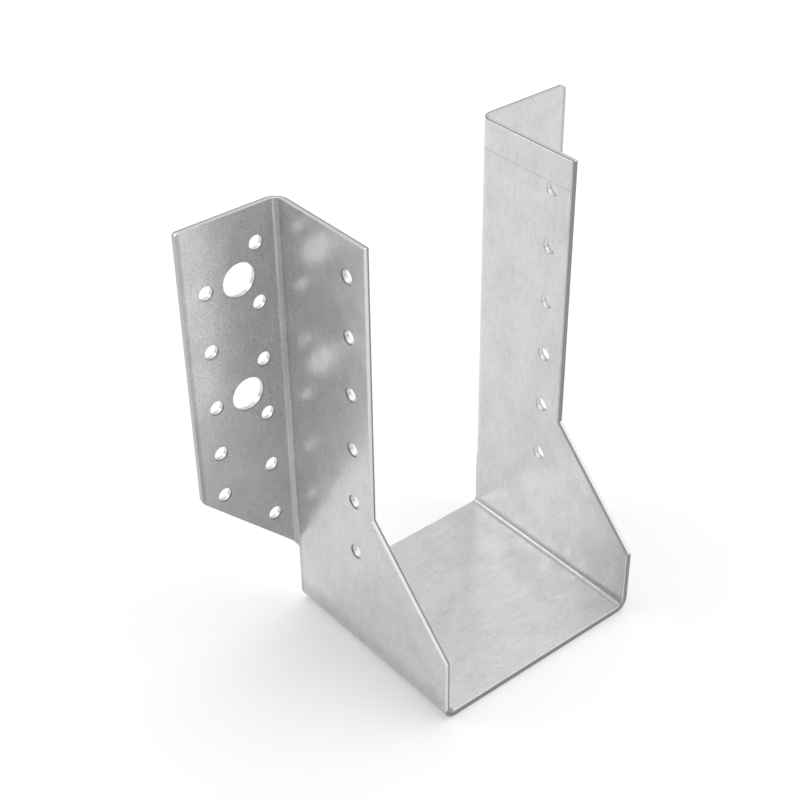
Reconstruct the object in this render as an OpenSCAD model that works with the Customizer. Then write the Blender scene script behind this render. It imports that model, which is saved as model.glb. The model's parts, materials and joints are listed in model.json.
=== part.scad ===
// Joist hanger with outward flanges, folded from one punched sheet of galvanised steel.
// X runs across the joist, +Y points into the header and +Z is up.
// The origin is the middle of the footprint, level with the underside of the seat.

/* [Sheet] */
// Thickness of the sheet
sheet_t = 2; // [1:0.25:3]
// Inside radius of the four folds
fold_r = 2; // [1:0.25:4]
// How much the outside radius of a seat fold exceeds its inside radius plus the sheet
fold_stretch = 0.4; // [0:0.1:0.8]
// How much the outside radius of a flange fold exceeds its inside radius plus the sheet
flange_fold_stretch = 1.2; // [0:0.1:1.5]

/* [Pocket for the joist] */
// Clear width between the side plates
joist_w = 76; // [45:1:140]
// Height from the underside of the seat to the top edges
hanger_h = 152; // [115:1:220]
// Depth from the header to the front edge of the seat
seat_depth = 76; // [60:0.5:100]
// Gap between the header and the rear edge of the seat
rear_gap = 2.6; // [1.5:0.1:3.8]

/* [Side plates] */
// Depth of the upper part of a side plate, from the header
upper_depth = 41.5; // [39:0.5:55]
// Height of a side plate's front edge, from the underside of the seat
front_h = 23.5; // [8:0.5:40]
// Radius of a side plate's top front corner
plate_corner_r = 0.4; // [0.2:0.1:3]
// Angle of the sloping front edge to the level
front_slope = 45; // [30:1:55]

/* [Flanges] */
// Width of a flange, from the outer face of its side plate
flange_w = 34; // [31:0.5:50]
// Height of a flange's outer bottom corner, from the underside of the seat
foot_h = 58.3; // [45:0.1:62]
// Angle of a flange's sloping foot to the level
foot_slope = 45; // [40:1:50]
// Radius of a flange's outer bottom corner
foot_corner_r = 2.7; // [0.5:0.1:5]
// Radius of a flange's outer top corner
flange_corner_r = 1.3; // [0.5:0.1:5]

/* [Nail holes] */
// Diameter of a nail hole
nail_d = 4.6; // [3:0.1:6]
// Spacing of the nail holes in a side plate and in the inner column of a flange
nail_pitch = 19.8; // [16:0.1:24]
// Height of the lowest of those holes, from the underside of the seat
nail_first_h = 41; // [38:0.1:50]
// Least distance from the highest of those holes to the top edge
nail_top_margin = 8; // [6:0.5:11]
// Distance of a side plate's nail holes from the header
side_nail_depth = 33.5; // [10:0.1:36]
// Distance of a flange's inner nail column from the side plate's outer face
inner_nail_x = 7.9; // [6.5:0.1:9.5]
// Distance of a flange's outer nail column from the side plate's outer face
outer_nail_x = 25.8; // [24:0.1:28]
// Height of the lowest hole in the outer column, from the underside of the seat
outer_first_h = 57.7; // [56:0.1:64]
// Height of the next hole in the outer column, from the underside of the seat
outer_second_h = 73.6; // [70:0.1:80]

/* [Bolt holes] */
// Diameter of a bolt hole
bolt_d = 11; // [8:0.5:13]
// Distance of a flange's bolt holes from the side plate's outer face
bolt_x = 14.4; // [12:0.1:17]
// Number of bolt holes in a flange
bolt_count = 2; // [1:1:2]

/* [Hidden] */
// Facets of a full circle in the preview
$fn = 96;
// How far a cutter runs past what it cuts
over = 1;
// Depth of the neutral layer below the inside face of a fold, as a share of the sheet
neutral_share = 0.4;
// Steps of the sheared foot where it winds round a fold
foot_steps = 12;

header_y = seat_depth / 2;
plate_out_x = joist_w / 2 + sheet_t;
flange_out_x = plate_out_x + flange_w;
knee_h = front_h + (seat_depth - upper_depth) * tan(front_slope);

fold_out_r = fold_r + sheet_t + fold_stretch;
flange_fold_out_r = fold_r + sheet_t + flange_fold_stretch;
neutral_r = fold_r + neutral_share * sheet_t;
// Distance of the axis of a fold's inside radius from the two outer faces
fold_axis = sheet_t + fold_r;

// The line of the foot runs on round the fold, as it does on the flat sheet, and ends at
// the rear edge of the lower side plate, which was never folded.
foot_fold_h = foot_h - (flange_w - fold_r) * tan(foot_slope);
foot_fold_run = neutral_r * PI / 2 - (fold_axis - rear_gap);
notch_h = foot_fold_h - foot_fold_run * tan(foot_slope);
notch_angle = foot_fold_run / neutral_r * 180 / PI;
function foot_edge_h(a) = foot_fold_h - (foot_fold_h - notch_h) * min(a / notch_angle, 1);

nail_rows = 1 + floor((hanger_h - nail_top_margin - nail_first_h) / nail_pitch);
// Holes of the outer column that sit halfway between two rows, from the top one down
outer_rows = nail_rows - 3;
// Rows of nails from one bolt hole to the next
bolt_step = 2;
function nail_h(row) = nail_first_h + row * nail_pitch;
function between_h(i) = nail_h(nail_rows - 1.5 - i);

// A rectangle that reaches to -X and -Y from the origin, with its corner there rounded
module corner_block(w, d, r) {
    translate([-w, -d]) square([w, d - r]);
    translate([-w, -d]) square([w - r, d]);
    translate([-r, -r]) circle(r);
}

// Section of a right-angled fold between two legs, with its outer corner at the origin
module fold_section(w, d, out_r) {
    difference() {
        corner_block(w, d, out_r);
        translate([-sheet_t, -sheet_t]) corner_block(w, d, fold_r);
    }
}

// What rounding takes off a bottom right corner at the origin, above an edge that rises
// towards the corner by a slope
module corner_cut(r, slope = 0) {
    difference() {
        translate([-r * (1 - sin(slope)), -r * tan(slope) - over])
            square([r * (1 - sin(slope)) + over, r / cos(slope) + over]);
        translate([-r, r * (1 - sin(slope)) / cos(slope)]) circle(r);
    }
}

// Right half of the channel's section: X across and Z up
module channel_half() {
    translate([plate_out_x, 0]) mirror([0, 1]) fold_section(plate_out_x, hanger_h, fold_out_r);
}

// Outline of a side plate and the seat's edge, seen along X: Y across and Z up
module side_outline() {
    translate([header_y, 0]) difference() {
        polygon([
            [-seat_depth, 0],
            [-rear_gap, 0],
            [-rear_gap, notch_h],
            [-flange_fold_out_r, notch_h],
            [-flange_fold_out_r, hanger_h],
            [-upper_depth, hanger_h],
            [-upper_depth, knee_h],
            [-seat_depth, front_h]
        ]);
        translate([-upper_depth, hanger_h]) rotate(180) corner_cut(plate_corner_r);
    }
}

// Seat and both side plates: a folded channel, cut to the outline of its sides
module channel() {
    intersection() {
        rotate([90, 0, 0]) linear_extrude(seat_depth + 2 * over, center = true) {
            channel_half();
            mirror([1, 0]) channel_half();
        }
        rotate([90, 0, 90]) linear_extrude(2 * flange_out_x, center = true) side_outline();
    }
}

// Plan of the right flange, its fold and the rear end of its side plate
module flange_section() {
    translate([plate_out_x - sheet_t, header_y]) mirror([1, 0])
        fold_section(flange_w + sheet_t, flange_fold_out_r + sheet_t, flange_fold_out_r);
}

// Outline of the right flange, seen from the front: X across and Z up
module flange_outline() {
    difference() {
        polygon([
            [plate_out_x - sheet_t, fold_out_r],
            [plate_out_x + fold_r, fold_out_r],
            [plate_out_x + fold_r, foot_fold_h],
            [flange_out_x, foot_h],
            [flange_out_x, hanger_h],
            [plate_out_x - sheet_t, hanger_h]
        ]);
        translate([flange_out_x, foot_h]) corner_cut(foot_corner_r, foot_slope);
        translate([flange_out_x, hanger_h]) mirror([0, 1]) corner_cut(flange_corner_r);
    }
}

// What the shears took away below a fold. The top of this cutter winds round the axis of
// the fold and stands square to the sheet all along, as the edge of the flat sheet does.
module foot_cutter() {
    angles = [for (i = [0:foot_steps]) notch_angle * i / foot_steps, 95];
    reach = [fold_r / 2, flange_fold_out_r + over];
    translate([plate_out_x + fold_r, header_y - fold_axis, 0]) polyhedron(
        points = [
            for (a = angles)
                for (p = [[0, -over], [1, -over], [1, foot_edge_h(a)], [0, foot_edge_h(a)]])
                    [-reach[p[0]] * sin(a), reach[p[0]] * cos(a), p[1]]
        ],
        faces = [
            [3, 2, 1, 0],
            for (i = [0:len(angles) - 2])
                for (k = [0:3])
                    [4 * i + k, 4 * i + (k + 1) % 4, 4 * i + 4 + (k + 1) % 4, 4 * i + 4 + k],
            [for (k = [0:3]) 4 * (len(angles) - 1) + k]
        ]
    );
}

// Right flange with its fold
module flange() {
    difference() {
        intersection() {
            linear_extrude(hanger_h) flange_section();
            translate([0, header_y + over, 0]) rotate([90, 0, 0])
                linear_extrude(flange_fold_out_r + sheet_t + 2 * over) flange_outline();
        }
        foot_cutter();
    }
}

// A punch through the right flange, at a distance from its side plate's outer face
module flange_hole(x, h, d) {
    translate([plate_out_x + x, header_y + over, h]) rotate([90, 0, 0])
        cylinder(h = sheet_t + 2 * over, d = d);
}

// Every punch through the right flange
module flange_holes() {
    for (row = [0:nail_rows - 1]) flange_hole(inner_nail_x, nail_h(row), nail_d);
    for (i = [0:outer_rows - 1]) flange_hole(outer_nail_x, between_h(i), nail_d);
    for (h = [outer_first_h, outer_second_h]) flange_hole(outer_nail_x, h, nail_d);
    for (i = [0:bolt_count - 1]) flange_hole(bolt_x, between_h(bolt_step * i), bolt_d);
}

// Every punch through the right side plate
module side_holes() {
    for (row = [0:nail_rows - 1])
        translate([joist_w / 2 - over, header_y - side_nail_depth, nail_h(row)]) rotate([0, 90, 0])
            cylinder(h = sheet_t + 2 * over, d = nail_d);
}

module hanger() {
    color([0.73, 0.74, 0.74]) difference() {
        union() {
            channel();
            flange();
            mirror([1, 0, 0]) flange();
        }
        for (side = [0, 1]) mirror([side, 0, 0]) {
            flange_holes();
            side_holes();
        }
    }
}

hanger();
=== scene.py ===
"""Looks of a joist hanger: one punched sheet of galvanised steel, folded up from its flat blank."""

import json
import logging
import math
from collections.abc import Callable, Iterator
from dataclasses import dataclass, field, replace
from enum import Enum
from typing import Any

import bmesh
import bpy
from mathutils import Matrix, Vector


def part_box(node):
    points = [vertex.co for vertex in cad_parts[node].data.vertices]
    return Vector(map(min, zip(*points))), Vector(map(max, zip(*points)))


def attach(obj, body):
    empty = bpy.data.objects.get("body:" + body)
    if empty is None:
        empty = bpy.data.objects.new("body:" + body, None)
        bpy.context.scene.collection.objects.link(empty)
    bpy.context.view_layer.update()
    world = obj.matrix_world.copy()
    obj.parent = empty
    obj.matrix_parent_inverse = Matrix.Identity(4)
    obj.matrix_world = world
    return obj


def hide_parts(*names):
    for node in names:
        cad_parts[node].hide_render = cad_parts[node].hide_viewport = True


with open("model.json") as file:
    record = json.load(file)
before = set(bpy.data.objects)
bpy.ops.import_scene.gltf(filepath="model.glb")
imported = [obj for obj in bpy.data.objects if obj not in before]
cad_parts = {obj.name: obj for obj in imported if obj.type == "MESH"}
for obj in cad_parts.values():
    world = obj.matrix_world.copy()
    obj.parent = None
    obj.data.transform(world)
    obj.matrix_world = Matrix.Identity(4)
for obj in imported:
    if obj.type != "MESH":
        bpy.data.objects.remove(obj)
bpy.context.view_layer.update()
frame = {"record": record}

LOG = logging.getLogger("joist_hanger")

# Lengths are in metres. Places nearer to each other than SAME_PLACE count as one. A face looks
# along an axis if its normal's part along it is over SQUARE_ON, and it belongs to a wall if its
# normal rises by less than UPRIGHT. An edge is sharp if its faces turn by more than SHARP radians.
MM = 0.001
SAME_PLACE = MM / 100
SQUARE_ON = 0.9
UPRIGHT = 0.7
SHARP = 1.0


class Zone(Enum):
    """What a face of the sheet is, as the index of its material slot."""

    ZINC = 0
    BURNISH = 1
    TORN = 2
    SLIT = 3


class Side(Enum):
    """A side of the hanger, as the sign of its X."""

    LEFT = -1
    RIGHT = 1


def clear_selection() -> None:
    """Leaves edit mode and deselects every object."""
    if bpy.context.object and bpy.context.object.mode != "OBJECT":
        bpy.ops.object.mode_set(mode="OBJECT")
    bpy.ops.object.select_all(action="DESELECT")


def activate(piece: bpy.types.Object) -> None:
    """Makes a piece the only one selected, and the active one."""
    clear_selection()
    piece.select_set(True)
    bpy.context.view_layer.objects.active = piece


def remove(piece: bpy.types.Object) -> None:
    """Deletes a helper piece."""
    activate(piece)
    bpy.ops.object.delete()


def apply_modifier(piece: bpy.types.Object, kind: str, **settings: Any) -> None:
    """Adds a modifier to a piece and applies it.

    Args:
        piece: The piece that is changed.
        kind: Blender's name for the kind of modifier.
        **settings: The modifier's settings.
    """
    activate(piece)
    modifier = piece.modifiers.new(kind.lower(), kind)
    for name, value in settings.items():
        setattr(modifier, name, value)
    bpy.ops.object.modifier_apply(modifier=modifier.name)


@dataclass
class Bench:
    """A piece held in edit mode, where what is worked on is selected by its place."""

    piece: bpy.types.Object

    def __enter__(self) -> "Bench":
        """Opens the piece in edit mode.

        Returns:
            The bench itself.
        """
        activate(self.piece)
        bpy.ops.object.mode_set(mode="EDIT")
        return self

    def __exit__(self, *problem: object) -> None:
        """Goes back to object mode."""
        bpy.ops.object.mode_set(mode="OBJECT")

    def pick(self, kind: str, wanted: Callable[[Any], bool] = lambda element: True) -> int:
        """Selects the vertices, edges or faces that pass a test, and nothing else.

        Args:
            kind: VERT, EDGE or FACE.
            wanted: The test that an element has to pass.

        Returns:
            How many were selected.
        """
        bpy.ops.mesh.select_mode(type=kind)
        bpy.ops.mesh.select_all(action="DESELECT")
        mesh = bmesh.from_edit_mesh(self.piece.data)
        mesh.normal_update()
        elements = {"VERT": mesh.verts, "EDGE": mesh.edges, "FACE": mesh.faces}[kind]
        chosen = [element for element in elements if wanted(element)]
        for element in chosen:
            element.select_set(True)
        mesh.select_flush_mode()
        bmesh.update_edit_mesh(self.piece.data)
        return len(chosen)

    def move(self, offset: Vector) -> None:
        """Moves what is selected."""
        bpy.ops.transform.translate(value=offset)

    def extrude(self, offset: Vector) -> None:
        """Extrudes what is selected."""
        bpy.ops.mesh.extrude_region_move(TRANSFORM_OT_translate={"value": offset})

    def bisect(self, place: Vector, normal: Vector) -> None:
        """Cuts what is selected along a plane and keeps both sides."""
        bpy.ops.mesh.bisect(plane_co=place, plane_no=normal)

    def paint(self, zone: Zone) -> None:
        """Gives the selected faces a zone of the sheet."""
        self.piece.active_material_index = zone.value
        bpy.ops.object.material_slot_assign()


def ease(share: float) -> float:
    """Fades smoothly from 0 to 1 as a share runs from 0 to 1."""
    share = min(max(share, 0.0), 1.0)
    return share * share * (3 - 2 * share)


@dataclass(frozen=True)
class Punch:
    """A round hole, at its place on the flat blank."""

    u: float
    v: float
    radius: float


@dataclass(frozen=True)
class Stock:
    """The sheet, and how it shears, punches and bends. Lengths are in metres."""

    thickness: float = 2.0 * MM
    fold_radius: float = 2.0 * MM
    neutral_share: float = 0.4
    burnish: float = 1.15 * MM
    punch_torn: float = 0.45 * MM
    torn_lean: float = 0.09 * MM
    shear_roll: float = 0.07 * MM
    burr: float = 0.06 * MM
    flattened_rim: float = 0.26 * MM
    punch_roll: float = 0.2 * MM
    seat_fold_stretch: float = 0.4 * MM
    flange_fold_stretch: float = 1.2 * MM

    @property
    def neutral_radius(self) -> float:
        """Radius of the layer that keeps its length in a fold."""
        return self.fold_radius + self.neutral_share * self.thickness

    @property
    def fold_length(self) -> float:
        """Length of sheet that a right-angled fold takes up."""
        return self.neutral_radius * math.pi / 2

    @property
    def fold_axis(self) -> float:
        """Distance of a fold's axis from the outer faces beside it."""
        return self.thickness + self.fold_radius

    def drawn_in(self, run: float, stretch: float) -> float:
        """Depth that the stretched outside of a fold lies below its unstretched place.

        Args:
            run: Distance on the flat sheet from where the fold starts.
            stretch: What the outside radius exceeds the inside radius plus the sheet by.

        Returns:
            The depth, measured square to the sheet.
        """
        outside = self.fold_axis + stretch
        run = min(run, self.fold_length - run)
        if run <= -stretch:
            return 0.0
        if run < 0:
            return self.fold_axis + stretch - math.sqrt(outside**2 - (run + stretch) ** 2)
        angle = math.pi / 2 * run / self.fold_length
        both = stretch * (math.sin(angle) + math.cos(angle))
        return self.fold_axis + both - math.sqrt(both**2 - 2 * stretch**2 + outside**2)

    def fold_stations(self, stretch: float, steps: int) -> Iterator[float]:
        """Distances from the start of a fold where the sheet needs a row of faces.

        Args:
            stretch: What the outside radius exceeds the inside radius plus the sheet by.
            steps: Rows of faces in the fold itself.

        Yields:
            Each distance on the flat sheet.
        """
        for share in (-1.0, -0.5):
            yield share * stretch
            yield self.fold_length - share * stretch
        for step in range(steps + 1):
            yield self.fold_length * step / steps


@dataclass
class Blank:
    """The flat, punched sheet. U runs across the seat and up the side plates, V towards the header
    and W up through the sheet, whose lower face becomes the outside of the pocket.
    """

    stock: Stock
    pocket_width: float
    height: float
    depth: float
    overall_width: float
    punches: list[Punch]
    rear_gap: float = 2.6 * MM
    upper_depth: float = 41.5 * MM
    front_height: float = 23.5 * MM
    foot_height: float = 58.3 * MM
    foot_corner: float = 2.7 * MM
    flange_corner: float = 1.3 * MM
    plate_corner: float = 0.4 * MM
    relief: float = 1.6 * MM
    flat_angle: float = 1.0
    corner_steps: int = 8
    shear_roll_steps: int = 2
    flattened_rim_steps: int = 4
    fold_steps: int = 12
    hole_sides: int = 64
    punch_roll_steps: int = 6
    punch_roll_end: float = 6.0
    piece: bpy.types.Object = field(init=False)

    @property
    def header(self) -> float:
        """V of the header's face."""
        return self.depth / 2

    @property
    def front(self) -> float:
        """V of the seat's front edge."""
        return -self.depth / 2

    @property
    def side_fold(self) -> float:
        """U where the fold of a side plate starts."""
        return self.pocket_width / 2 - self.stock.fold_radius

    @property
    def flange_fold(self) -> float:
        """V where the fold of a flange starts."""
        return self.header - self.stock.fold_axis

    @property
    def plate_face(self) -> float:
        """X of a side plate's outer face on the folded hanger."""
        return self.pocket_width / 2 + self.stock.thickness

    @property
    def notch(self) -> Vector:
        """Corner on the right half where the foot of the flange meets the seat's rear edge."""
        rear = self.header - self.rear_gap
        foot = self.u_at(self.foot_height)
        return Vector((foot - (self.flange_edge - rear), rear, 0))

    @property
    def flange_edge(self) -> float:
        """V of a flange's outer edge."""
        return self.v_at(self.overall_width / 2)

    @property
    def knee_height(self) -> float:
        """Height of the knee, where the 45 degree front edge ends."""
        return self.front_height + self.depth - self.upper_depth

    def u_at(self, z: float) -> float:
        """U on the right half of a height on the folded side plate."""
        return self.side_fold + self.stock.fold_length + z - self.stock.fold_axis

    def v_at(self, x: float) -> float:
        """V of a distance from the middle plane, on the folded flange."""
        start = self.plate_face + self.stock.fold_radius
        return self.flange_fold + self.stock.fold_length + x - start

    def front_at(self, u: float) -> float:
        """V of the front edge of the right half: level, then at 45 degrees, then level again."""
        return min(self.front + max(u - self.u_at(self.front_height), 0), self.header - self.upper_depth)

    def rear_at(self, u: float) -> float:
        """V of the rear edge of the right half: the seat's, the foot's and the flange's."""
        return min(self.notch.y + max(u - self.notch.x, 0), self.flange_edge)

    def make(self) -> bpy.types.Object:
        """Cuts, shears, punches and marks out the blank.

        Returns:
            The finished flat blank.
        """
        self.lay_out()
        self.round_corners()
        self.shear()
        self.punch()
        self.score()
        self.slit()
        self.keep_flat_place()
        return self.piece

    def lay_out(self) -> None:
        """Draws the right half of the blank station by station, and mirrors it."""
        clear_selection()
        bpy.ops.mesh.primitive_plane_add(size=1)
        self.piece = bpy.context.object
        self.piece.name = "folded_sheet"
        for zone in Zone:
            self.piece.data.materials.append(bpy.data.materials.new(zone.name.lower()))
        stations = sorted(
            [
                self.notch.x,
                self.u_at(self.front_height),
                self.u_at(self.knee_height),
                self.u_at(self.foot_height),
                self.u_at(self.height),
            ]
        )
        with Bench(self.piece) as bench:
            for corner, u, v in (
                ((-0.5, -0.5), 0.0, self.front),
                ((0.5, -0.5), stations[0], self.front),
                ((0.5, 0.5), stations[0], self.notch.y),
                ((-0.5, 0.5), 0.0, self.notch.y),
            ):
                at = Vector((*corner, 0))
                bench.pick("VERT", lambda vert: (vert.co - at).length < SAME_PLACE)
                bench.move(Vector((u, v, 0)) - at)
            for u in stations[1:]:
                self.extend(bench, u, self.front_at(u), self.rear_at(u))
        apply_modifier(self.piece, "MIRROR", use_axis=(True, False, False), merge_threshold=SAME_PLACE)
        with Bench(self.piece) as bench:
            if bench.pick("FACE", lambda face: face.normal.z < 0):
                bpy.ops.mesh.flip_normals()
            bench.pick("FACE")
            bpy.ops.mesh.dissolve_limited(angle_limit=math.radians(self.flat_angle))

    def extend(self, bench: Bench, u: float, front: float, back: float) -> None:
        """Extrudes the end of the half blank to a new station.

        Args:
            bench: The bench that holds the half blank.
            u: Place of the new end.
            front: V of its front corner.
            back: V of its rear corner.
        """
        end = max(vert.co.x for vert in bmesh.from_edit_mesh(self.piece.data).verts)
        bench.pick("EDGE", lambda edge: all(abs(vert.co.x - end) < SAME_PLACE for vert in edge.verts))
        bench.extrude(Vector((u - end, 0, 0)))
        corners = sorted(
            vert.co.y
            for vert in bmesh.from_edit_mesh(self.piece.data).verts
            if abs(vert.co.x - u) < SAME_PLACE
        )
        for old, new in zip(corners, (front, back)):
            bench.pick(
                "VERT",
                lambda vert: abs(vert.co.x - u) < SAME_PLACE and abs(vert.co.y - old) < SAME_PLACE,
            )
            bench.move(Vector((0, new - old, 0)))

    def round_corners(self) -> None:
        """Rounds the top corners and the outer corner of each foot."""
        top = self.u_at(self.height)
        foot = self.u_at(self.foot_height)
        foot_setback = self.foot_corner * math.tan(math.radians(45 / 2))
        with Bench(self.piece) as bench:
            for v, radius in (
                (self.flange_edge, self.flange_corner),
                (self.header - self.upper_depth, self.plate_corner),
            ):
                bench.pick(
                    "VERT",
                    lambda vert: abs(abs(vert.co.x) - top) < SAME_PLACE
                    and abs(vert.co.y - v) < SAME_PLACE,
                )
                bpy.ops.mesh.bevel(affect="VERTICES", offset=radius, segments=self.corner_steps)
            bench.pick(
                "VERT",
                lambda vert: abs(abs(vert.co.x) - foot) < SAME_PLACE
                and abs(vert.co.y - self.flange_edge) < SAME_PLACE,
            )
            bpy.ops.mesh.bevel(affect="VERTICES", offset=foot_setback, segments=self.corner_steps)

    def shear(self) -> None:
        """Gives the outline its sheared wall: rolled in, burnished, then torn, its burr flattened."""
        stock = self.stock
        with Bench(self.piece) as bench:
            bench.pick("FACE")
            bench.extrude(Vector((0, 0, stock.burnish)))
            bench.pick(
                "FACE",
                lambda face: face.normal.z > SQUARE_ON and face.calc_center_median().z > 0,
            )
            bpy.ops.mesh.inset(
                thickness=stock.torn_lean,
                depth=stock.thickness - stock.burnish,
                use_boundary=True,
                use_even_offset=True,
            )
            bench.pick("FACE")
            bpy.ops.mesh.normals_make_consistent(inside=False)
            self.paint_walls(bench)
            bench.pick(
                "EDGE",
                lambda edge: all(abs(vert.co.z) < SAME_PLACE for vert in edge.verts)
                and len(edge.link_faces) == 2
                and edge.calc_face_angle() > SHARP,
            )
            self.round_rim(stock.shear_roll, self.shear_roll_steps)
            bench.pick(
                "EDGE",
                lambda edge: all(vert.co.z > stock.thickness - SAME_PLACE for vert in edge.verts)
                and edge.calc_face_angle() > SHARP,
            )
            self.round_rim(stock.flattened_rim, self.flattened_rim_steps)

    def round_rim(self, radius: float, steps: int) -> None:
        """Rounds the selected edges, with the zinc running over them."""
        bpy.ops.mesh.bevel(
            affect="EDGES",
            offset=radius,
            segments=steps,
            material=Zone.ZINC.value,
        )

    def paint_walls(self, bench: Bench) -> None:
        """Marks the lower part of the wall as burnished and the upper part as torn."""
        for zone, low, high in (
            (Zone.BURNISH, 0, self.stock.burnish),
            (Zone.TORN, self.stock.burnish, self.stock.thickness),
        ):
            bench.pick(
                "FACE",
                lambda face: abs(face.normal.z) < UPRIGHT and low < face.calc_center_median().z < high,
            )
            bench.paint(zone)

    def slit(self) -> None:
        """Marks the front edges of the seat and of the right side plate torn through, which makes them
        darker, and the flanges' outer edges slit.

        The left side plate's front edges keep their burnished band.
        """
        stock = self.stock
        near = stock.thickness / 4
        knee = self.header - self.upper_depth

        def is_front(face: Any) -> bool:
            centre = face.calc_center_median()
            within = stock.shear_roll < centre.z < stock.burnish
            seat = centre.y < self.front + near and centre.x > -self.side_fold - stock.fold_length
            plate = abs(centre.y - knee) < near and centre.x > 0
            return within and abs(face.normal.y) > SQUARE_ON and (seat or plate)

        def is_outer(face: Any) -> bool:
            centre = face.calc_center_median()
            within = stock.shear_roll < centre.z < stock.thickness - stock.flattened_rim
            return within and abs(face.normal.y) > SQUARE_ON and centre.y > self.flange_edge - near

        with Bench(self.piece) as bench:
            bench.pick("FACE", is_front)
            bench.paint(Zone.TORN)
            bench.pick("FACE", is_outer)
            bench.paint(Zone.SLIT)

    def punch(self) -> None:
        """Punches every hole with a turned cutter that leaves the punch's rolled edge."""
        cutters = [self.turn_punch(punch) for punch in self.punches]
        activate(cutters[0])
        for cutter in cutters:
            cutter.select_set(True)
        bpy.ops.object.join()
        tool = bpy.context.object
        apply_modifier(self.piece, "BOOLEAN", operation="DIFFERENCE", solver="EXACT", object=tool)
        remove(tool)

    def turn_punch(self, punch: Punch) -> bpy.types.Object:
        """Makes the cutter of one hole, ring by ring.

        Args:
            punch: The hole.

        Returns:
            The closed cutter, at the hole's place.
        """
        clear_selection()
        rings = list(self.punch_rings(punch.radius))
        first_radius, first_w = rings[0]
        bpy.ops.mesh.primitive_circle_add(
            vertices=self.hole_sides,
            radius=first_radius,
            fill_type="NGON",
            location=(punch.u, punch.v, first_w),
        )
        cutter = bpy.context.object
        bpy.ops.object.transform_apply(location=True, rotation=False, scale=False)
        for material in self.piece.data.materials:
            cutter.data.materials.append(material)
        centre = Vector((punch.u, punch.v, 0))
        with Bench(cutter) as bench:
            bench.pick("FACE")
            radius, w = first_radius, first_w
            for new_radius, new_w in rings[1:]:
                bench.extrude(Vector((0, 0, new_w - w)))
                bpy.ops.transform.resize(
                    value=(new_radius / radius, new_radius / radius, 1),
                    center_override=centre,
                )
                radius, w = new_radius, new_w
            bench.pick("FACE")
            bpy.ops.mesh.normals_make_consistent(inside=False)
            for zone, low, high in (
                (Zone.TORN, -math.inf, self.stock.punch_torn),
                (Zone.BURNISH, self.stock.punch_torn, self.stock.thickness - self.stock.punch_roll),
            ):
                bench.pick("FACE", lambda face: low < face.calc_center_median().z < high)
                bench.paint(zone)
        return cutter

    def punch_rings(self, radius: float) -> Iterator[tuple[float, float]]:
        """The radius and W of each ring of a punch's cutter, from below the sheet to above it.

        The punch comes down on the upper face, so it rolls that rim in and tears out the lower one.

        Args:
            radius: Radius of the hole.

        Yields:
            The radius and the W of one ring.
        """
        stock, steps, end = self.stock, self.punch_roll_steps, self.punch_roll_end
        yield radius + stock.torn_lean + stock.burr, -stock.thickness
        yield radius + stock.torn_lean + stock.burr, 0.0
        yield radius + stock.torn_lean, stock.burr
        yield radius, stock.punch_torn
        for step in range(steps + 1):
            angle = math.radians((90 - end) * (1 - step / steps) + end)
            yield (
                radius + stock.punch_roll * (1 - math.sin(angle)),
                stock.thickness - stock.punch_roll * (1 - math.cos(angle)),
            )
        yield radius + stock.punch_roll, 2 * stock.thickness

    def score(self) -> None:
        """Cuts the rows of faces that let each fold bend as a smooth round."""
        stock = self.stock
        with Bench(self.piece) as bench:
            for side in Side:
                for run in stock.fold_stations(stock.seat_fold_stretch, self.fold_steps):
                    bench.pick("FACE")
                    bench.bisect(Vector((side.value * (self.side_fold + run), 0, 0)), Vector((1, 0, 0)))
                for u in (self.notch.x - self.relief, self.notch.x - self.relief / 2, self.notch.x):
                    bench.pick("FACE")
                    bench.bisect(Vector((side.value * u, 0, 0)), Vector((1, 0, 0)))
            limit = self.notch.x - self.relief - SAME_PLACE
            for run in stock.fold_stations(stock.flange_fold_stretch, self.fold_steps):
                bench.pick("FACE", lambda face: all(abs(vert.co.x) > limit for vert in face.verts))
                bench.bisect(Vector((0, self.flange_fold + run, 0)), Vector((0, 1, 0)))

    def keep_flat_place(self) -> None:
        """Stores each point's place on the flat blank, for finishes that follow the sheet."""
        mesh = self.piece.data
        places = [0.0] * (3 * len(mesh.vertices))
        mesh.vertices.foreach_get("co", places)
        mesh.attributes.new("blank", "FLOAT_VECTOR", "POINT").data.foreach_set("vector", places)


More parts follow.
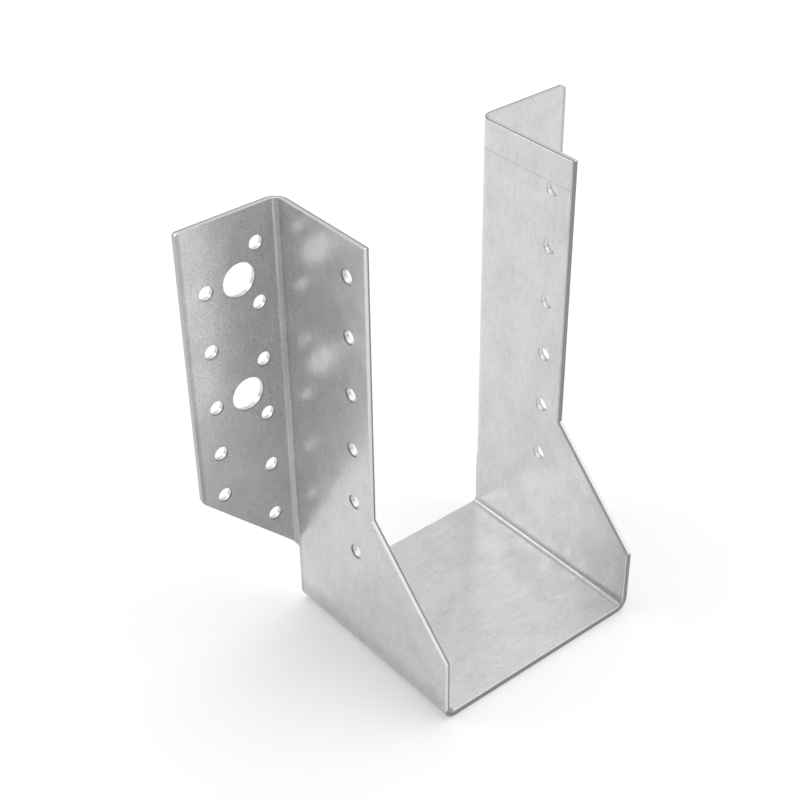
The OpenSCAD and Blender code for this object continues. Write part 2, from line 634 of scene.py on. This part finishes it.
@dataclass
class Press:
    """The brake that folds the blank: flanges down first, then both side plates up."""

    blank: Blank

    def fold(self) -> None:
        """Thins the outside of each fold and bends the blank into the hanger."""
        blank, stock = self.blank, self.blank.stock
        self.thin_folds()
        self.group_flanges()
        neutral = stock.neutral_share * stock.thickness
        self.bend(
            Vector((0, blank.flange_fold, neutral)),
            along=Vector((0, 1, 0)),
            towards=Vector((0, 0, -1)),
            group="flanges",
        )
        for side in Side:
            self.bend(
                Vector((side.value * blank.side_fold, 0, stock.thickness - neutral)),
                along=Vector((side.value, 0, 0)),
                towards=Vector((0, 0, 1)),
            )

    def flange_share(self, place: Vector) -> float:
        """How far a place bends with the flange: fading out over the relief below each notch."""
        blank = self.blank
        return ease((abs(place.x) - blank.notch.x + blank.relief) / blank.relief)

    def thin_folds(self) -> None:
        """Draws the outside of each fold in, as the stretched metal does."""
        blank, stock = self.blank, self.blank.stock

        def seat_depth(place: Vector) -> float:
            depth = stock.drawn_in(abs(place.x) - blank.side_fold, stock.seat_fold_stretch)
            return depth * (1 - place.z / stock.thickness)

        def flange_depth(place: Vector) -> float:
            depth = stock.drawn_in(place.y - blank.flange_fold, stock.flange_fold_stretch)
            return depth * place.z / stock.thickness * self.flange_share(place)

        self.press_in("seat_folds", seat_depth, stock.thickness)
        self.press_in("flange_folds", flange_depth, -stock.thickness)

    def press_in(self, name: str, depth: Callable[[Vector], float], reach: float) -> None:
        """Moves the sheet's points square to it.

        Args:
            name: Name for the group of points.
            depth: How far a place moves.
            reach: The farthest that a point can move, upwards if positive.
        """
        piece = self.blank.piece
        group = piece.vertex_groups.new(name=name)
        for vert in piece.data.vertices:
            group.add([vert.index], depth(vert.co) / abs(reach), "REPLACE")
        apply_modifier(
            piece, "DISPLACE", direction="Z", mid_level=0.0, strength=reach, vertex_group=name
        )

    def group_flanges(self) -> None:
        """Groups what bends with the flanges."""
        piece = self.blank.piece
        group = piece.vertex_groups.new(name="flanges")
        for vert in piece.data.vertices:
            group.add([vert.index], self.flange_share(vert.co), "REPLACE")

    def bend(self, start: Vector, along: Vector, towards: Vector, group: str = "") -> None:
        """Bends the sheet at a right angle.

        Args:
            start: A point where the fold starts, on the layer that keeps its length.
            along: Direction across the fold, away from what stays still.
            towards: Direction that the sheet turns to.
            group: Vertex group that bends, or nothing for the whole sheet.
        """
        blank = self.blank
        clear_selection()
        bpy.ops.object.empty_add()
        origin = bpy.context.object
        axis = along.cross(towards)
        turn = Matrix((along, towards, axis)).transposed().to_4x4()
        origin.matrix_world = Matrix.Translation(start) @ turn
        bpy.context.view_layer.update()
        places = [(vert.co - start).dot(along) for vert in blank.piece.data.vertices]
        low, high = min(places), max(places)
        limits = [(edge - low) / (high - low) for edge in (0, blank.stock.fold_length)]
        apply_modifier(
            blank.piece,
            "SIMPLE_DEFORM",
            deform_method="BEND",
            deform_axis="Z",
            angle=math.pi / 2,
            limits=limits,
            origin=origin,
            vertex_group=group,
        )
        remove(origin)


def node_tree(material: bpy.types.Material) -> tuple[Any, Any]:
    """Empties a material's node tree and adds its shader.

    Args:
        material: The material.

    Returns:
        The node tree and its Principled shader.
    """
    material.use_nodes = True
    tree = material.node_tree
    tree.nodes.clear()
    output = tree.nodes.new("ShaderNodeOutputMaterial")
    shader = tree.nodes.new("ShaderNodeBsdfPrincipled")
    tree.links.new(shader.outputs["BSDF"], output.inputs["Surface"])
    return tree, shader


@dataclass(frozen=True)
class Texture:
    """Noise laid out on the flat blank, drawn out along the direction that the sheet was rolled in."""

    size: float
    drawn_out: float = 1.0
    detail: float = 2.0

    def lay(self, tree: Any) -> Any:
        """Adds the noise to a node tree.

        Args:
            tree: The node tree.

        Returns:
            The noise's output, mostly from 0.3 to 0.7.
        """
        place = tree.nodes.new("ShaderNodeAttribute")
        place.attribute_name = "blank"
        mapping = tree.nodes.new("ShaderNodeMapping")
        across = 1 / self.size
        mapping.inputs["Scale"].default_value = (across / self.drawn_out, across, across)
        noise = tree.nodes.new("ShaderNodeTexNoise")
        noise.inputs["Scale"].default_value = 1.0
        noise.inputs["Detail"].default_value = self.detail
        tree.links.new(place.outputs["Vector"], mapping.inputs["Vector"])
        tree.links.new(mapping.outputs["Vector"], noise.inputs["Vector"])
        return noise.outputs["Fac"]


@dataclass(frozen=True)
class Layer:
    """A texture that scales a value by a factor, which runs from one level to another."""

    texture: Texture
    low: float
    high: float
    at_low: float
    at_high: float

    def scale(self, tree: Any, value: Any) -> Any:
        """Scales a value by the layer's factor.

        Args:
            tree: The node tree.
            value: The output that is scaled, or None for the factor alone.

        Returns:
            The scaled output.
        """
        level = tree.nodes.new("ShaderNodeMapRange")
        for name, number in (
            ("From Min", self.low),
            ("From Max", self.high),
            ("To Min", self.at_low),
            ("To Max", self.at_high),
        ):
            level.inputs[name].default_value = number
        tree.links.new(self.texture.lay(tree), level.inputs["Value"])
        if value is None:
            return level.outputs["Result"]
        product = tree.nodes.new("ShaderNodeMath")
        product.operation = "MULTIPLY"
        tree.links.new(value, product.inputs[0])
        tree.links.new(level.outputs["Result"], product.inputs[1])
        return product.outputs["Value"]


@dataclass(frozen=True)
class Mark:
    """A mark on one face of the blank that scales a value there by a factor or by a layer.

    It reaches a distance each way from its place in U and V, and without a limit where none is given.
    It is full up to a share of its reach, and gone beyond another share.
    """

    factor: float | Layer
    u: float = 0.0
    v: float = 0.0
    reach_u: float = math.inf
    reach_v: float = math.inf
    reach_w: float = 0.25 * MM
    on_top: bool = True
    thickness: float = Stock.thickness
    full_share: float = 0.6
    gone_share: float = 1.6

    def scale(self, tree: Any, value: Any) -> Any:
        """Scales a value on the mark.

        Args:
            tree: The node tree.
            value: The output that is scaled.

        Returns:
            The scaled output.
        """
        place = tree.nodes.new("ShaderNodeAttribute")
        place.attribute_name = "blank"
        near = tree.nodes.new("ShaderNodeMapping")
        near.inputs["Scale"].default_value = (1 / self.reach_u, 1 / self.reach_v, 1 / self.reach_w)
        near.inputs["Location"].default_value = (
            -self.u / self.reach_u,
            -self.v / self.reach_v,
            -self.thickness / self.reach_w if self.on_top else 0,
        )
        distance = tree.nodes.new("ShaderNodeVectorMath")
        distance.operation = "LENGTH"
        level = tree.nodes.new("ShaderNodeMapRange")
        level.inputs["From Min"].default_value = self.full_share
        level.inputs["From Max"].default_value = self.gone_share
        if isinstance(self.factor, Layer):
            tree.links.new(self.factor.scale(tree, None), level.inputs["To Min"])
        else:
            level.inputs["To Min"].default_value = self.factor
        product = tree.nodes.new("ShaderNodeMath")
        product.operation = "MULTIPLY"
        tree.links.new(place.outputs["Vector"], near.inputs["Vector"])
        tree.links.new(near.outputs["Vector"], distance.inputs[0])
        tree.links.new(distance.outputs["Value"], level.inputs["Value"])
        tree.links.new(value, product.inputs[0])
        tree.links.new(level.outputs["Result"], product.inputs[1])
        return product.outputs["Value"]


@dataclass(frozen=True)
class ZincSkin:
    """The zinc coat: neutral grey and half bright, with clouds, grain, dark specks, a scratch, a darker
    band along the flanges' outer edges, and painted shade in the folds and low on the left flange.
    """

    grey: float = 0.665
    metallic: float = 0.8
    roughness: float = 0.27
    grain: Layer = Layer(Texture(0.4 * MM), 0.3, 0.7, 0.97, 1.03)
    mottle: Layer = Layer(Texture(1.9 * MM, 1.6), 0.3, 0.7, 0.965, 1.035)
    clouds: Layer = Layer(Texture(9 * MM, 1.3, 2.0), 0.3, 0.7, 0.955, 1.045)
    specks: Layer = Layer(Texture(0.7 * MM, 1.8, 1.0), 0.62, 0.76, 1.0, 0.84)
    wisps: Layer = Layer(Texture(1.5 * MM, 4.0, 2.0), 0.54, 0.74, 1.0, 0.945)
    polish: Layer = Layer(Texture(6 * MM, 1.5, 1.0), 0.3, 0.7, 0.85, 1.15)
    ripple: Texture = Texture(5 * MM, 1.4, 0.0)
    ripple_height: float = 0.01 * MM
    scratch: Mark = Mark(0.76, u=178.6 * MM, reach_u=0.15 * MM)
    left_specks: Mark = Mark(
        Layer(Texture(0.6 * MM, 1.2, 2.0), 0.44, 0.7, 1.06, 0.8),
        u=-152 * MM,
        v=52 * MM,
        reach_u=50 * MM,
        reach_v=22 * MM,
        on_top=False,
    )
    # Painted shade: darkens the lower part of the left flange's front face, near its foot.
    left_foot_shade: Mark = Mark(0.9, u=-84 * MM, v=50 * MM, reach_u=22 * MM, reach_v=24 * MM, on_top=False)
    # Painted shade in and beside the folds, and a darker band along the flanges' outer edges; the hanger
    # fills these in.
    fold_shade_and_edge_marks: tuple[Mark, ...] = ()

    def dress(self, material: bpy.types.Material) -> None:
        """Builds the finish in a material."""
        tree, shader = node_tree(material)
        material.name = "zinc_skin"
        shader.inputs["Metallic"].default_value = self.metallic
        layers = (self.grain, self.mottle, self.clouds, self.specks, self.wisps)
        value = replace(
            layers[0],
            at_low=layers[0].at_low * self.grey,
            at_high=layers[0].at_high * self.grey,
        ).scale(tree, None)
        for layer in layers[1:]:
            value = layer.scale(tree, value)
        # The scratch and the specks are marks on the zinc; the left foot's mark and the fold marks are
        # painted shade, beside a darker band along the flanges' outer edges.
        for mark in (self.scratch, self.left_specks, self.left_foot_shade, *self.fold_shade_and_edge_marks):
            value = mark.scale(tree, value)
        tree.links.new(value, shader.inputs["Base Color"])
        polish = replace(
            self.polish,
            at_low=self.polish.at_low * self.roughness,
            at_high=self.polish.at_high * self.roughness,
        ).scale(tree, None)
        tree.links.new(polish, shader.inputs["Roughness"])
        bump = tree.nodes.new("ShaderNodeBump")
        bump.inputs["Distance"].default_value = self.ripple_height
        tree.links.new(self.ripple.lay(tree), bump.inputs["Height"])
        tree.links.new(bump.outputs["Normal"], shader.inputs["Normal"])


@dataclass(frozen=True)
class ShearedSteel:
    """Bare steel of a sheared wall."""

    name: str
    grey: float
    roughness: float

    def dress(self, material: bpy.types.Material) -> None:
        """Builds the finish in a material."""
        tree, shader = node_tree(material)
        material.name = self.name
        shader.inputs["Metallic"].default_value = 1.0
        shader.inputs["Roughness"].default_value = self.roughness
        shader.inputs["Base Color"].default_value = (self.grey, self.grey, self.grey, 1)


@dataclass
class Hanger:
    """The joist hanger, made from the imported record's sizes."""

    blank: Blank
    skin: ZincSkin = ZincSkin()
    burnish: ShearedSteel = ShearedSteel("burnished_edge", 0.68, 0.3)
    torn: ShearedSteel = ShearedSteel("torn_edge", 0.32, 0.6)
    slit: ShearedSteel = ShearedSteel("slit_edge", 0.56, 0.55)
    smooth_angle: float = 38.0

    def build(self) -> bpy.types.Object:
        """Makes the hanger and dresses it.

        Returns:
            The finished piece.
        """
        piece = self.blank.make()
        Press(self.blank).fold()
        activate(piece)
        bpy.ops.object.shade_smooth_by_angle(angle=math.radians(self.smooth_angle))
        apply_modifier(piece, "WEIGHTED_NORMAL", keep_sharp=True, weight=100)
        # The zinc gets the painted shade of the folds and the darker band along the flanges' outer edges.
        skin = replace(self.skin, fold_shade_and_edge_marks=tuple(self.fold_shade_and_edge_marks()))
        for zone, finish in (
            (Zone.ZINC, skin),
            (Zone.BURNISH, self.burnish),
            (Zone.TORN, self.torn),
            (Zone.SLIT, self.slit),
        ):
            finish.dress(piece.data.materials[zone.value])
        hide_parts("hanger")
        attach(piece, "root")
        return piece

    def fold_shade_and_edge_marks(self) -> Iterator[Mark]:
        """Finds the marks along the folds and the flanges' outer edges: painted shade in the hollow of
        each fold, over the highlight in each side fold and low on the outside of each side fold, and a
        darker band along the flanges' outer edges.

        Yields:
            Two marks in the hollow of each side fold and one on its back, then the flange folds' and
            the one along the flanges' outer edges.
        """
        blank = self.blank
        inset, flange_inset, edge_inset = 0.8 * MM, 1.7 * MM, 0.5 * MM
        start, length = blank.side_fold, blank.stock.fold_length
        # Painted shade: in each side fold the first mark darkens the hollow beside the crease's
        # highlight, the second dims that highlight, and the third darkens the outside of the fold and the
        # bottom of the side plate, where it mirrors the floor's shade.
        for side in Side:
            yield Mark(0.74, u=side.value * (start + inset), reach_u=0.6 * MM)
            yield Mark(0.8, u=side.value * (start + length / 2), reach_u=1.2 * MM)
            yield Mark(0.84, u=side.value * (start + length), reach_u=4.5 * MM, on_top=False)
        # Painted shade in the hollow of each flange fold, then a darker band along the flanges' outer
        # edges.
        yield Mark(0.79, v=blank.flange_fold + flange_inset, reach_v=1.4 * MM, on_top=False)
        yield Mark(0.75, v=blank.flange_edge - edge_inset, reach_v=0.7 * MM, on_top=False)


def punches_from_record(blank: Blank) -> Iterator[Punch]:
    """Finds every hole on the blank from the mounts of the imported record.

    Args:
        blank: The blank, for where a place on the folded hanger lies on it.

    Yields:
        Each hole once.
    """
    for mount in frame["record"]["mounts"]:
        if mount["kind"] != "bolt_pattern":
            continue
        x, y, z = mount["pos_m"]
        dims = mount["dims"]
        half_x = dims.get("spacing_x_mm", 0) / 2 * MM
        half_y = dims.get("spacing_y_mm", 0) / 2 * MM
        radius = dims["hole_r_mm"] * MM
        in_flanges = abs(mount["axis"][1]) > abs(mount["axis"][0])
        for up in sorted({-1, 1} if half_y else {0}):
            if in_flanges:
                for side in Side:
                    yield Punch(side.value * blank.u_at(z + up * half_y), blank.v_at(half_x), radius)
            else:
                side_sign = math.copysign(1, x)
                yield Punch(side_sign * blank.u_at(z + up * half_y), y, radius)


@dataclass(frozen=True)
class SoftBox:
    """A square soft box that faces the hanger. Its azimuth is measured from +Y towards +X."""

    name: str
    azimuth: float
    elevation: float
    distance: float
    size: float
    radiance: float

    def hang(self) -> None:
        """Adds the lamp."""
        azimuth, elevation = math.radians(self.azimuth), math.radians(self.elevation)
        away = Vector(
            (
                math.sin(azimuth) * math.cos(elevation),
                math.cos(azimuth) * math.cos(elevation),
                math.sin(elevation),
            )
        )
        clear_selection()
        bpy.ops.object.light_add(type="AREA", location=away * self.distance)
        lamp = bpy.context.object
        lamp.name = self.name
        lamp.rotation_euler = away.to_track_quat("Z", "Y").to_euler()
        lamp.data.shape = "SQUARE"
        lamp.data.size = self.size
        lamp.data.energy = self.radiance * math.pi * self.size**2


@dataclass
class Studio:
    """A white floor with a grey card beside the camera, soft boxes and the photograph's camera."""

    soft_boxes: tuple[SoftBox, ...] = (
        SoftBox("window", azimuth=-39.6, elevation=36.0, distance=1.6, size=0.7, radiance=1.7),
        SoftBox("ceiling", azimuth=138.0, elevation=42.0, distance=1.6, size=1.4, radiance=0.6),
        SoftBox("top", azimuth=39.0, elevation=80.0, distance=1.6, size=1.5, radiance=1.1),
    )
    sky: float = 0.82
    dim_sky: float = 0.35
    dim_ahead: float = -0.7
    bright_ahead: float = 0.1
    floor_size: float = 6.0
    floor_drop: float = 0.2 * MM
    floor_grey: float = 0.76
    floor_glow: float = 0.27
    card_near: float = -92 * MM
    card_depth: float = 400 * MM
    card_left: float = -290 * MM
    card_right: float = 60 * MM
    card_grey: float = 0.6
    camera_place: Vector = Vector((-264.62, -293.66, 363.29)) * MM
    azimuth: float = 39.151
    elevation: float = 36.08
    roll: float = -0.756
    focal_px: float = 1583.12
    centre_px: tuple[float, float] = (399.62, 419.61)
    frame_px: float = 800.0
    sensor: float = 36.0
    clip_near: float = 0.01
    clip_far: float = 20.0

    def build(self) -> None:
        """Adds the floor, the card, the light and the camera."""
        self.add_floor()
        self.add_card()
        self.add_world()
        for soft_box in self.soft_boxes:
            soft_box.hang()
        self.add_camera()

    def add_floor(self) -> None:
        """Lays a wide white floor just under the seat."""
        clear_selection()
        bpy.ops.mesh.primitive_plane_add(size=self.floor_size, location=(0, 0, -self.floor_drop))
        floor = bpy.context.object
        floor.name = "floor"
        material = bpy.data.materials.new("white_sweep")
        floor.data.materials.append(material)
        tree, shader = node_tree(material)
        grey = self.floor_grey
        shader.inputs["Base Color"].default_value = (grey, grey, grey, 1)
        shader.inputs["Roughness"].default_value = 1.0
        shader.inputs["Specular IOR Level"].default_value = 0.0
        shader.inputs["Emission Color"].default_value = (1, 1, 1, 1)
        shader.inputs["Emission Strength"].default_value = self.floor_glow

    def add_card(self) -> None:
        """Lays a grey card on the floor, out of the picture, that darkens what the front mirrors."""
        turn = Matrix.Rotation(math.radians(-self.azimuth), 4, "Z")
        middle_x = (self.card_left + self.card_right) / 2
        middle = Vector((middle_x, self.card_near - self.card_depth / 2, 0))
        clear_selection()
        bpy.ops.mesh.primitive_plane_add(size=1)
        card = bpy.context.object
        card.name = "grey_card"
        size = Matrix.Diagonal((self.card_right - self.card_left, self.card_depth, 1, 1))
        card.matrix_world = turn @ Matrix.Translation(middle) @ size
        bpy.ops.object.transform_apply(location=False, rotation=True, scale=True)
        material = bpy.data.materials.new("grey_card")
        card.data.materials.append(material)
        tree, shader = node_tree(material)
        grey = self.card_grey
        shader.inputs["Base Color"].default_value = (grey, grey, grey, 1)
        shader.inputs["Roughness"].default_value = 1.0

    def add_world(self) -> None:
        """Surrounds the scene with plain light that is dimmer on the camera's side."""
        world = bpy.data.worlds.new("studio")
        bpy.context.scene.world = world
        world.use_nodes = True
        tree = world.node_tree
        background = tree.nodes["Background"]
        background.inputs["Color"].default_value = (1, 1, 1, 1)
        direction = tree.nodes.new("ShaderNodeTexCoord")
        ahead = tree.nodes.new("ShaderNodeVectorMath")
        ahead.operation = "DOT_PRODUCT"
        azimuth = math.radians(self.azimuth)
        ahead.inputs[1].default_value = (math.sin(azimuth), math.cos(azimuth), 0)
        level = tree.nodes.new("ShaderNodeMapRange")
        level.interpolation_type = "SMOOTHSTEP"
        for name, number in (
            ("From Min", self.dim_ahead),
            ("From Max", self.bright_ahead),
            ("To Min", self.dim_sky),
            ("To Max", self.sky),
        ):
            level.inputs[name].default_value = number
        tree.links.new(direction.outputs["Generated"], ahead.inputs[0])
        tree.links.new(ahead.outputs["Value"], level.inputs["Value"])
        tree.links.new(level.outputs["Result"], background.inputs["Strength"])

    def add_camera(self) -> None:
        """Places the camera as the photograph's, with its roll and its off-centre axis."""
        clear_selection()
        bpy.ops.object.camera_add()
        camera = bpy.context.object
        camera.name = "photo_camera"
        azimuth, elevation = math.radians(self.azimuth), math.radians(self.elevation)
        forward = Vector(
            (
                math.sin(azimuth) * math.cos(elevation),
                math.cos(azimuth) * math.cos(elevation),
                -math.sin(elevation),
            )
        )
        right = Vector((math.cos(azimuth), -math.sin(azimuth), 0))
        down = forward.cross(right)
        cos_roll, sin_roll = math.cos(math.radians(self.roll)), math.sin(math.radians(self.roll))
        rolled_right = right * cos_roll - down * sin_roll
        rolled_down = right * sin_roll + down * cos_roll
        turn = Matrix((rolled_right, -rolled_down, -forward)).transposed().to_4x4()
        camera.matrix_world = Matrix.Translation(self.camera_place) @ turn
        camera.data.sensor_width = self.sensor
        camera.data.lens = self.focal_px * self.sensor / self.frame_px
        camera.data.shift_x = -(self.centre_px[0] / self.frame_px - 0.5)
        camera.data.shift_y = self.centre_px[1] / self.frame_px - 0.5
        camera.data.clip_start, camera.data.clip_end = self.clip_near, self.clip_far
        bpy.context.scene.camera = camera


def main() -> None:
    """Builds the hanger, then the studio, and logs the number of holes and the piece's vertices and
    faces.
    """
    logging.basicConfig(level=logging.INFO, format="%(message)s")
    low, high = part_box("hanger")
    seat = next(mount for mount in frame["record"]["mounts"] if mount["name"] == "joist_face_right")
    blank = Blank(
        stock=Stock(),
        pocket_width=2 * seat["pos_m"][0],
        height=high.z,
        depth=high.y - low.y,
        overall_width=high.x - low.x,
        punches=[],
    )
    blank.punches = list(punches_from_record(blank))
    LOG.info("%d holes on the blank", len(blank.punches))
    piece = Hanger(blank).build()
    LOG.info("%s: %d vertices, %d faces", piece.name, len(piece.data.vertices), len(piece.data.polygons))
    Studio().build()
    bpy.context.scene.view_settings.view_transform = "Standard"


if __name__ == "__main__":
    main()
